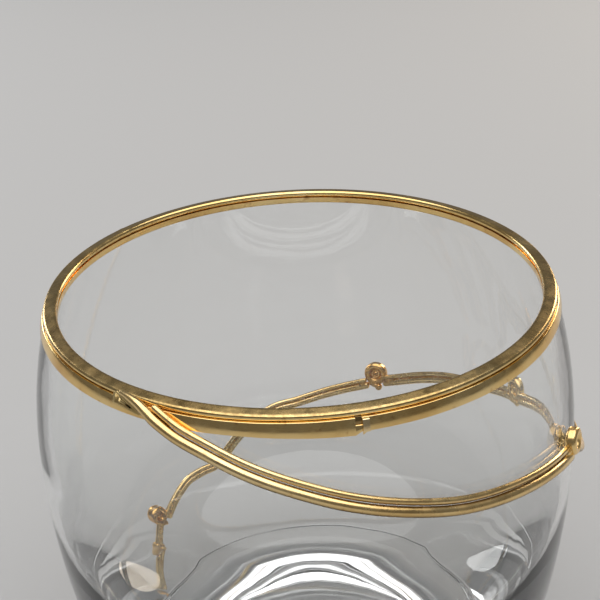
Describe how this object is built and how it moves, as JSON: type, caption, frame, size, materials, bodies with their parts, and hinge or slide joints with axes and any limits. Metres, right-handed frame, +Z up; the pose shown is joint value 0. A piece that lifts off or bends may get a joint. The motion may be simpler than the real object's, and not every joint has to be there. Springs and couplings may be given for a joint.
{
  "type": "gilt-mounted glass tumbler",
  "caption": "Round-bellied clear glass tumbler with a gilt rim and band and a gilt vine of a thin and a thick wire, with buds, spiralling round the outside.",
  "frame": {"origin": "centre of the foot, on the plane that the glass stands on", "axes": "+Z up along the glass's own axis, -Y towards the side where the vine leaves the gilt band, +X to that viewer's right"},
  "size_m": [0.0837, 0.0829, 0.0729],
  "materials": {
    "glass": "clear polished glass, faintly rippled by blowing",
    "gilt": "polished gilt brass with light handling wear"
  },
  "bodies": {
    "root": {"glass_bowl": "glass", "rim_ring": "gilt", "rim_band": "gilt", "rim_lip": "gilt", "band_seam_strip": "gilt", "vine_root": "gilt", "vine_tail_bead": "gilt", "vine_1_upper": "gilt", "vine_1_lower": "gilt", "vine_2_upper": "gilt", "vine_2_lower": "gilt", "vine_3_upper": "gilt", "vine_3_lower": "gilt", "vine_4_upper": "gilt", "vine_4_lower": "gilt", "vine_5_upper": "gilt", "vine_5_lower": "gilt", "vine_6_upper": "gilt", "vine_6_lower": "gilt", "bud_1_cup": "gilt", "bud_2_cup": "gilt", "bud_3_cup": "gilt", "bud_4_cup": "gilt", "bud_5_cup": "gilt", "bud_1_seed": "gilt", "bud_2_seed": "gilt", "bud_3_seed": "gilt", "bud_4_seed": "gilt", "bud_5_seed": "gilt", "bud_1_grains": "gilt", "bud_2_grains": "gilt", "bud_3_grains": "gilt", "bud_4_grains": "gilt", "bud_5_grains": "gilt"}
  },
  "joints": []
}
